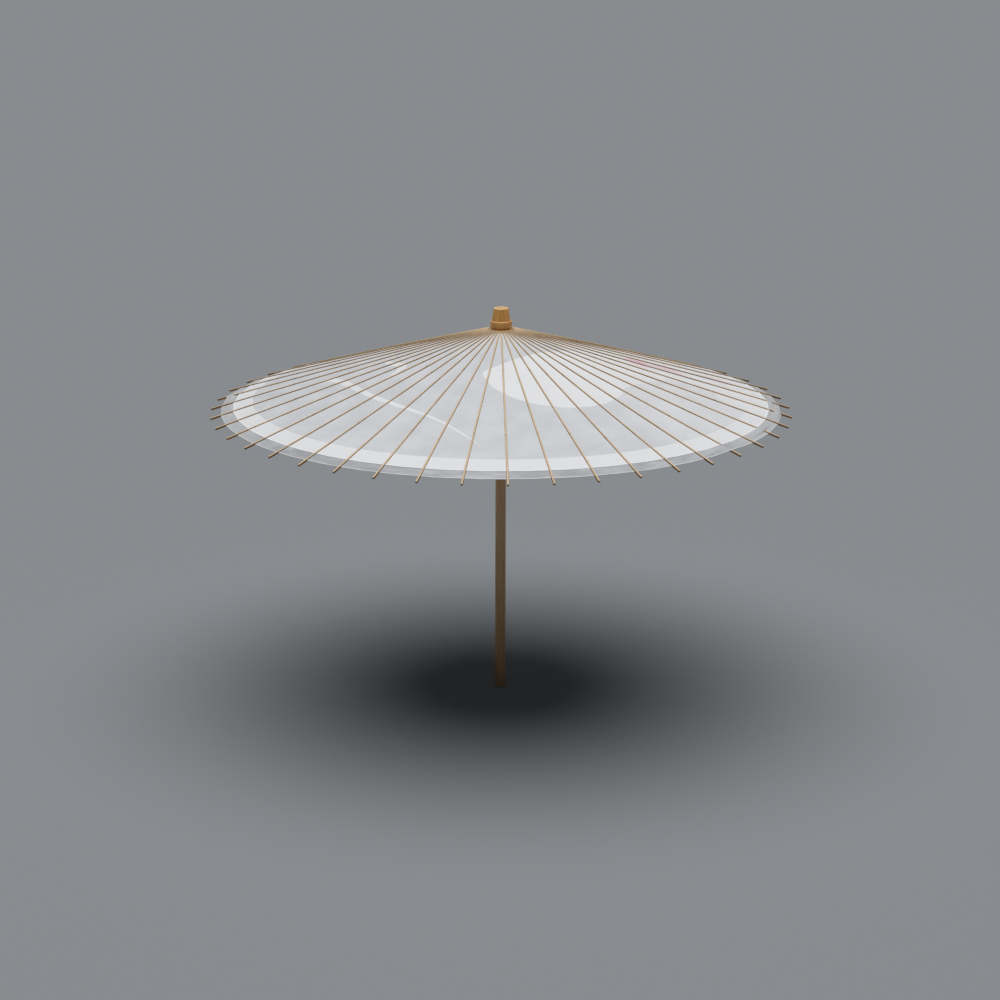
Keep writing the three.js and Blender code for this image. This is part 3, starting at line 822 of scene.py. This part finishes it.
# ---- stretchers ----
def rounded_box(half, low, high, corner):
    """Points (sideways, outward) round a rectangle with rounded corners, counter-clockwise."""
    corner = min(corner, 0.45 * half, 0.45 * (high - low))
    ring = []
    middles = [(half, low, -90), (half, high, 0), (-half, high, 90), (-half, low, 180)]
    for across, out, start in middles:
        centre = (across - math.copysign(corner, across), out + (corner if out == low else -corner))
        for step in (0, 30, 60, 90):
            angle = math.radians(start + step)
            ring.append((centre[0] + corner * math.cos(angle), centre[1] + corner * math.sin(angle)))
    return ring


def stretcher_sections():
    """(distance from the rib's joint, half width, low, high) from one rounded eye to the other."""
    eye, tang = STRETCHER_EYE, TANG_WIDTH / 2
    round_end = []
    for angle in (12, 35, 60):
        half_depth = eye * math.sin(math.radians(angle))
        round_end.append((-eye * math.cos(math.radians(angle)), tang, -half_depth, half_depth))
    round_end.append((0, tang, -eye, STRETCHER_OUTER))
    wide = [
        (STRETCHER_RISE, tang),
        (STRETCHER_JOINT_TANG, tang),
        (STRETCHER_JOINT_TANG + STRETCHER_RISE, STRETCHER_JOINT_WIDTH / 2),
        (0.55 * LINK, STRETCHER_JOINT_WIDTH / 2 - 0.1 * MM),
        (0.8 * LINK, STRETCHER_RUNNER_WIDTH / 2),
        (LINK - STRETCHER_RUNNER_TANG - STRETCHER_RISE, STRETCHER_RUNNER_WIDTH / 2),
        (LINK - STRETCHER_RUNNER_TANG, tang),
    ]
    middle = [(x, half, STRETCHER_INNER, STRETCHER_OUTER) for x, half in wide]
    far_end = [(LINK - x, half, low, high) for x, half, low, high in reversed(round_end)]
    return round_end + middle + far_end


def make_stretcher(index):
    sections = stretcher_sections()
    points = []
    for x, half, low, high in sections:
        points += [(x, across, out) for across, out in rounded_box(half, low, high, CORNER)]
    ring_size = len(points) // len(sections)
    name = f"bamboo_stretcher_{index + 1:02d}"
    faces = tube_faces(len(sections), ring_size)
    stretcher = make_object(name, arms[index].on_stretcher(points), faces, BAMBOO)
    lengths = [x for x, _, _, _ in sections]
    add_uv(stretcher, "fibre", strand_uv(lengths, ring_size, 9 * MM, 90 + index * 1.3))
    inner_side = [1.0 if out > 0.5 * STRETCHER_OUTER else 0.0 for _, _, out in points]
    add_attribute(stretcher, "skin", inner_side)
    add_attribute(stretcher, "knuckle", np.zeros(len(points)))
    shade(stretcher)
    node = ((index + 1) // RIBS_PER_NODE) % len(stretcher_nodes)
    modelled = arms[node * RIBS_PER_NODE]
    if index % RIBS_PER_NODE == 0:
        attach(stretcher, stretcher_nodes[node], "bamboo", stretcher_nodes[node])
    else:
        attach(stretcher, stretcher_nodes[node], "bamboo")
        anchor = tuple(arms[index].runner)
        tuple(modelled.side)
        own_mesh(stretcher)
    return stretcher


# ---- threads and wires ----
def make_joint_thread(index):
    """The thread through a rib's joint, half way to each neighbour, with a knot on each side of the rib."""
    arm = arms[index]
    half = PIVOT_RADIUS * math.tan(PITCH / 2) + LINK * math.sin(OPEN) * math.tan(PITCH / 2)
    knot = rib_half_width(LINK) + KNOT_BESIDE
    beside = [0, 1 * MM, *np.linspace(knot + 2 * MM, half, 7)]
    beside += [knot + offset * MM for offset in (-0.7, -0.4, 0, 0.4, 0.7)]
    runs = sorted({sign * value for sign in (-1, 1) for value in beside})
    ring_size = 10
    points = []
    for run in runs:
        near_knot = math.exp(-(((abs(run) - knot) / KNOT_REACH) ** 2))
        radius = THREAD_RADIUS + (KNOT_RADIUS - THREAD_RADIUS) * near_knot
        share = max(0.0, (abs(run) - knot) / (half - knot))
        centre = arm.joint + arm.side * run - UP * THREAD_SAG * math.sin(share * math.pi / 2) ** 2
        for k in range(ring_size):
            angle = 2 * math.pi * k / ring_size
            points.append(centre + radius * (arm.out * math.sin(angle) + UP * math.cos(angle)))
    thread = make_object(f"joint_thread_{index + 1:02d}", points, tube_faces(len(runs), ring_size), THREAD)
    face_out(thread)
    add_uv(thread, "fibre", strand_uv(runs, ring_size, 1.0, index))
    shade(thread, 80)
    attach(thread, rib_nodes[index], "thread")
    fold_to_rib(thread, index)
    return thread


def make_ring_wire(name, height, body):
    """The wire ring that the slotted ends turn on."""
    steps, ring_size = 4 * RIB_COUNT, 12
    points = []
    for step in range(steps):
        angle = 2 * math.pi * step / steps
        out = np.array([math.cos(angle), math.sin(angle), 0.0])
        for k in range(ring_size):
            turn = 2 * math.pi * k / ring_size
            radius = PIVOT_RADIUS + WIRE_RADIUS * math.cos(turn)
            points.append(out * radius + UP * (height + WIRE_RADIUS * math.sin(turn)))
    wire = make_object(name, points, tube_faces(steps, ring_size, closed=True), WIRE)
    face_out(wire)
    shade(wire, 80)
    return attach(wire, body, "hinge_wire")


# ---- turned pieces ----
def eased(outline, radius, closed=True, steps=4):
    """An outline with its corners rounded; an open one keeps its two ends."""
    count = len(outline)
    rounded = []
    for i, corner in enumerate(np.array(outline)):
        if not closed and i in (0, count - 1):
            rounded.append(corner)
            continue
        before, after = np.array(outline[i - 1]), np.array(outline[(i + 1) % count])
        back, ahead = before - corner, after - corner
        cut = min(radius, 0.42 * np.linalg.norm(back), 0.42 * np.linalg.norm(ahead))
        start = corner + back / np.linalg.norm(back) * cut
        end = corner + ahead / np.linalg.norm(ahead) * cut
        for step in range(steps + 1):
            t = step / steps
            rounded.append((1 - t) ** 2 * start + 2 * t * (1 - t) * corner + t**2 * end)
    return rounded


def make_turned(name, outline, material, closed=True):
    """A turned piece about the pole's axis. An open outline runs up its side and gets flat ends."""
    size = len(outline)
    points = []
    for step in range(TURNED_SEGMENTS):
        angle = FIRST_RIB + (step + 0.5) * 2 * math.pi / TURNED_SEGMENTS
        points += [(r * math.cos(angle), r * math.sin(angle), z) for r, z in outline]
    faces = []
    for step in range(TURNED_SEGMENTS):
        after = (step + 1) % TURNED_SEGMENTS
        for k in range(size if closed else size - 1):
            beside = (k + 1) % size
            corners = (step, k), (after, k), (after, beside), (step, beside)
            faces.append(tuple(row * size + column for row, column in corners))
    if not closed:
        for end in (0, size - 1):
            faces.append(tuple(step * size + end for step in range(TURNED_SEGMENTS)))
    piece = make_object(name, points, faces, material)
    face_out(piece)
    return piece


def cut(piece, cutter):
    """Takes the cutter's shape out of the piece."""
    modifier = piece.modifiers.new("cut", "BOOLEAN")
    modifier.operation = "DIFFERENCE"
    modifier.solver = "EXACT"
    modifier.object = cutter
    evaluated = piece.evaluated_get(bpy.context.evaluated_depsgraph_get())
    shape = bpy.data.meshes.new_from_object(evaluated)
    piece.modifiers.clear()
    piece.data = shape
    bpy.data.objects.remove(cutter)


def block(points_low, points_high, place):
    """Eight corners of a box from its lowest and highest corner, put in place."""
    corners = [(x, y, z) for x in (points_low[0], points_high[0])
               for y in (points_low[1], points_high[1]) for z in (points_low[2], points_high[2])]
    return [place(corner) for corner in corners]


BLOCK_FACES = [(0, 1, 3, 2), (4, 6, 7, 5), (0, 4, 5, 1), (2, 3, 7, 6), (0, 2, 6, 4), (1, 5, 7, 3)]


def cut_slots(piece, height):
    """One slot for each arm, across the flange at its height."""
    points, faces = [], []
    low = (SLOT_FLOOR_RADIUS, -SLOT_WIDTH / 2, -FLANGE_BELOW - 0.4 * MM)
    high = (FLANGE_RADIUS + 2 * MM, SLOT_WIDTH / 2, FLANGE_ABOVE + 0.4 * MM)
    for arm in arms:
        def place(corner, arm=arm):
            return arm.out * corner[0] + arm.side * corner[1] + UP * (height + corner[2])

        faces += [tuple(len(points) + k for k in face) for face in BLOCK_FACES]
        points += block(low, high, place)
    cutter = make_object("slot_cutter", points, faces, TURNED_WOOD)
    face_out(cutter)
    cut(piece, cutter)


def make_head():
    """Slotted flange, collar and tapered finial, with the pole's tenon showing in its dished top."""
    low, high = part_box("head")
    foot, top = low.z - HEAD_Z, high.z - HEAD_Z
    bore = TENON_RADIUS + TENON_GAP
    outline = [
        (bore, foot), (HUB_RADIUS, foot), (SLOT_FLOOR_RADIUS, -FLANGE_BELOW),
        (FLANGE_RADIUS, -FLANGE_BELOW), (FLANGE_RADIUS, FLANGE_ABOVE), (NECK_RADIUS, FLANGE_ABOVE),
        (NECK_RADIUS, COLLAR_START), (COLLAR_RADIUS, COLLAR_START),
        (COLLAR_RADIUS, COLLAR_END - COLLAR_EDGE), (COLLAR_RADIUS - COLLAR_EDGE, COLLAR_END),
        (FINIAL_BASE + SEAM, COLLAR_END), (FINIAL_BASE, COLLAR_END - SEAM),
        (FINIAL_BASE - FINIAL_STEP, COLLAR_END + SEAM),
        (FINIAL_TOP, top - COLLAR_EDGE), (FINIAL_TOP - COLLAR_EDGE, top),
        (DISH_RADIUS, top), (bore, top - DISH_DEPTH),
    ]
    placed = [(r, z + HEAD_Z) for r, z in eased(outline, HEAD_EASE)]
    head = make_turned("turned_head", placed, TURNED_WOOD)
    cut_slots(head, HEAD_Z)
    shade(head, 30)
    return attach(head, "pole", "turned_wood", "head")


def make_runner():
    """A spool that slides on the pole, with the stretchers' slotted flange near its top."""
    low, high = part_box("runner")
    foot, top = low.z - RUNNER_Z, high.z - RUNNER_Z
    edge, rim, taper, flare, waist = (foot + height for height in SPOOL_FOOT_HEIGHTS)
    waist_top, neck = SPOOL_NECK_HEIGHTS
    flare_below, flare_above = SPOOL_WAIST_FLARE
    outline = [
        (RUNNER_BORE, foot), (SPOOL_FOOT - SPOOL_EDGE, foot), (SPOOL_FOOT, edge), (SPOOL_FOOT, rim),
        (SPOOL_FOOT - SPOOL_EDGE, taper), (SPOOL_WAIST + flare_below, flare),
        (SPOOL_WAIST, waist), (SPOOL_WAIST, waist_top), (SPOOL_WAIST + flare_above, neck),
        (SLOT_FLOOR_RADIUS, -FLANGE_BELOW), (FLANGE_RADIUS, -FLANGE_BELOW), (FLANGE_RADIUS, FLANGE_ABOVE),
        (SLOT_FLOOR_RADIUS, FLANGE_ABOVE), (SLOT_FLOOR_RADIUS - SPOOL_EDGE, top), (RUNNER_BORE, top),
    ]
    placed = [(r, z + RUNNER_Z) for r, z in eased(outline, RUNNER_EASE)]
    runner = make_turned("turned_runner", placed, TURNED_WOOD)
    cut_slots(runner, RUNNER_Z)
    shade(runner, 30)
    return attach(runner, "runner", "turned_wood", "runner")


def make_pole():
    """One round stick, thinned to a tenon inside the head, with a slot for the latch."""
    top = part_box("pole")[1].z
    groove_low, groove_high = FOOT_GROOVE
    groove_radius = POLE_RADIUS - FOOT_GROOVE_DEPTH
    outline = [
        (POLE_RADIUS - POLE_EDGE, 0.0), (POLE_RADIUS, POLE_EDGE), (POLE_RADIUS, groove_low),
        (groove_radius, groove_low + FOOT_GROOVE_SLOPE),
        (groove_radius, groove_high - FOOT_GROOVE_SLOPE), (POLE_RADIUS, groove_high),
        (POLE_RADIUS, TENON_START), (TENON_RADIUS, TENON_START),
        (TENON_RADIUS, top - TENON_EDGE), (TENON_RADIUS - TENON_EDGE, top),
    ]
    pole = make_turned("wooden_pole", eased(outline, POLE_EASE, closed=False), POLE_WOOD, closed=False)
    latch_low, latch_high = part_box("latch")
    low = (latch_low.x - LATCH_SLOT_SIDE, -POLE_RADIUS - 2 * MM, latch_low.z - LATCH_SLOT_BELOW)
    high = (latch_high.x + LATCH_SLOT_SIDE, -LATCH_SLOT_FLOOR, latch_high.z + LATCH_SLOT_ABOVE)
    cutter = make_object("latch_cutter", block(low, high, np.array), BLOCK_FACES, POLE_WOOD)
    face_out(cutter)
    cut(pole, cutter)
    shade(pole, 30)
    return attach(pole, "pole", "pole_wood", "pole")


def make_latch():
    """A sprung tongue under the runner, with eased edges."""
    low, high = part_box("latch")
    half = (high.x - low.x) / 2
    foot, top = low.z, high.z
    bend = foot + LATCH_FOOT_HEIGHT
    foot_in, foot_out = LATCH_FOOT
    tip_in, tip_out = LATCH_TIP
    outline = [
        (foot_in, foot), (foot_out, foot), (foot_out, bend), (tip_out, top - LATCH_TIP_HEIGHT),
        (tip_out, top), (tip_in, top), (LATCH_BEND, bend),
    ]
    count = len(outline)
    points = [(x, -r, z) for x in (-half, half) for r, z in outline]
    faces = tube_faces(2, count)
    latch = make_object("latch_tongue", points, faces, BAMBOO)
    work = bmesh.new()
    work.from_mesh(latch.data)
    bmesh.ops.recalc_face_normals(work, faces=work.faces)
    bmesh.ops.bevel(work, geom=work.edges[:], offset=LATCH_EASE, segments=3, affect="EDGES", profile=0.6)
    work.to_mesh(latch.data)
    work.free()
    sides = [(vertex.co.z, vertex.co.x) for vertex in latch.data.vertices]
    outer = [1.0 if vertex.co.y < -LATCH_SKIN else 0.0 for vertex in latch.data.vertices]
    add_uv(latch, "fibre", sides)
    add_attribute(latch, "skin", outer)
    add_attribute(latch, "knuckle", np.zeros(len(sides)))
    shade(latch, 50)
    return attach(latch, "latch", "bamboo", "latch")


# ---- the umbrella ----
for rib_index in range(RIB_COUNT):
    make_rib(rib_index)
    make_stretcher(rib_index)
    make_joint_thread(rib_index)
    for gore_side in (-1, 1):
        make_paper(rib_index, gore_side)
make_head()
make_runner()
make_pole()
make_latch()
make_ring_wire("head_ring_wire", HEAD_Z, "pole")
make_ring_wire("runner_ring_wire", RUNNER_Z, "runner")


# ---- studio ----
def make_studio():
    """A plain floor, one wide soft light straight above, and a plain backdrop for low views."""
    half = FLOOR_HALF
    corners = [(-half, -half, 0), (half, -half, 0), (half, half, 0), (-half, half, 0)]
    floor = make_object("studio_floor", corners, [(0, 1, 2, 3)], floor_material())
    light = bpy.data.lights.new("overhead_softbox", "SUN")
    light.angle = math.radians(LIGHT_ANGLE_DEG)
    light.energy = LIGHT_ENERGY
    lamp = bpy.data.objects.new("overhead_softbox", light)
    lamp.location = (0, 0, 3)
    bpy.context.scene.collection.objects.link(lamp)
    world = bpy.data.worlds.new("studio_air")
    world.use_nodes = True
    tree = world.node_tree
    fill = tree.nodes["Background"]
    fill.inputs["Color"].default_value = rgb(0.95, 0.98, 1.0)
    fill.inputs["Strength"].default_value = AIR_STRENGTH
    backdrop = tree.nodes.new("ShaderNodeBackground")
    backdrop.inputs["Color"].default_value = rgb(0.245, 0.26, 0.275)
    choice = tree.nodes.new("ShaderNodeMixShader")
    tree.links.new(tree.nodes.new("ShaderNodeLightPath").outputs["Is Camera Ray"], choice.inputs[0])
    tree.links.new(fill.outputs[0], choice.inputs[1])
    tree.links.new(backdrop.outputs[0], choice.inputs[2])
    tree.links.new(choice.outputs[0], tree.nodes["World Output"].inputs["Surface"])
    bpy.context.scene.world = world
    bpy.context.scene.view_settings.view_transform = "Standard"


def make_camera():
    """In front of the umbrella, above the canopy and looking down on it."""
    data = bpy.data.cameras.new("camera")
    data.lens = CAMERA_LENS
    data.sensor_width = 36
    data.clip_end = 200
    camera = bpy.data.objects.new("camera", data)
    camera.location = CAMERA_PLACE
    camera.rotation_mode = "ZYX"
    camera.rotation_euler = (math.radians(90 - CAMERA_DOWN_DEG), 0, math.radians(CAMERA_ROLL_DEG))
    bpy.context.scene.collection.objects.link(camera)
    bpy.context.scene.camera = camera


make_studio()
make_camera()
